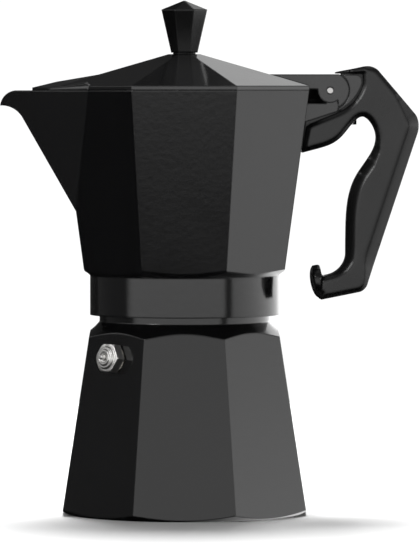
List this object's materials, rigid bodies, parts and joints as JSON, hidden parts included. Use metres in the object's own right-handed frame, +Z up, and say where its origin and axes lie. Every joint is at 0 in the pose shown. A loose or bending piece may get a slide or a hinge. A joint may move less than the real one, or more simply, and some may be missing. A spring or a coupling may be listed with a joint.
{
  "type": "moka pot",
  "caption": "Octagonal black stovetop moka pot with a spouted collector, a hinged faceted lid, a moulded handle and a safety valve on its boiler.",
  "frame": {"origin": "centre of the boiler's foot, on the surface that the pot stands on", "axes": "+Z up the pot's axis, +X towards the handle, -X towards the spout, and a viewer looking along +Y sees the spout on the left"},
  "size_m": [0.1769, 0.1048, 0.217],
  "materials": {
    "black_metal": "satin black stove enamel over cast aluminium",
    "black_plastic": "fine satin moulded thermoset",
    "valve_metal": "nickel-plated brass",
    "steel": "turned steel",
    "brass": "turned brass",
    "bare_aluminium": "spun and pressed bare aluminium",
    "seal_rubber": "pale food-grade rubber"
  },
  "bodies": {
    "boiler_unit": {"boiler": "black_metal", "valve_body": "valve_metal", "valve_washer": "seal_rubber", "valve_cap": "valve_metal"},
    "poppet_unit": {"valve_poppet": "valve_metal", "valve_spring": "steel"},
    "funnel_unit": {"funnel": "bare_aluminium", "funnel_disc": "bare_aluminium"},
    "gasket_unit": {"gasket": "seal_rubber"},
    "filter_unit": {"filter_plate": "bare_aluminium"},
    "collector_unit": {"collector": "black_metal", "column": "bare_aluminium", "hinge_pin": "steel", "handle": "black_plastic", "handle_screw": "steel"},
    "lid_unit": {"lid": "black_metal", "knob": "black_plastic", "knob_insert": "brass", "knob_washer": "steel", "knob_screw": "steel"}
  },
  "joints": [
    {"name": "valve_pop", "type": "slide", "parent": "boiler_unit", "child": "poppet_unit", "axis": [-0.6991, -0.6991, 0.1497], "range_m": [0, 0.0012], "stiffness_N_per_m": 1500, "springref_m": -0.0015},
    {"name": "collector_lift", "type": "slide", "parent": "boiler_unit", "child": "filter_unit", "axis": [0, 0, 1], "range_m": [0, 0.17]},
    {"name": "gasket_lift", "type": "slide", "parent": "boiler_unit", "child": "gasket_unit", "axis": [0, 0, 1], "range_m": [0, 0.136]},
    {"name": "funnel_lift", "type": "slide", "parent": "boiler_unit", "child": "funnel_unit", "axis": [0, 0, 1], "range_m": [0, 0.0969]},
    {"name": "collector_turn", "type": "hinge", "parent": "filter_unit", "child": "collector_unit", "pos_m": [0, 0, 0.1], "axis": [0, 0, 1], "range_deg": [0, 540]},
    {"name": "lid_hinge", "type": "hinge", "parent": "collector_unit", "child": "lid_unit", "pos_m": [0.0616, 0, 0.179], "axis": [0, 1, 0], "range_deg": [0, 75]}
  ],
  "couplings": [
    {"joint": "gasket_lift", "follows": "collector_lift", "ratio": 0.8},
    {"joint": "funnel_lift", "follows": "collector_lift", "ratio": 0.57}
  ]
}
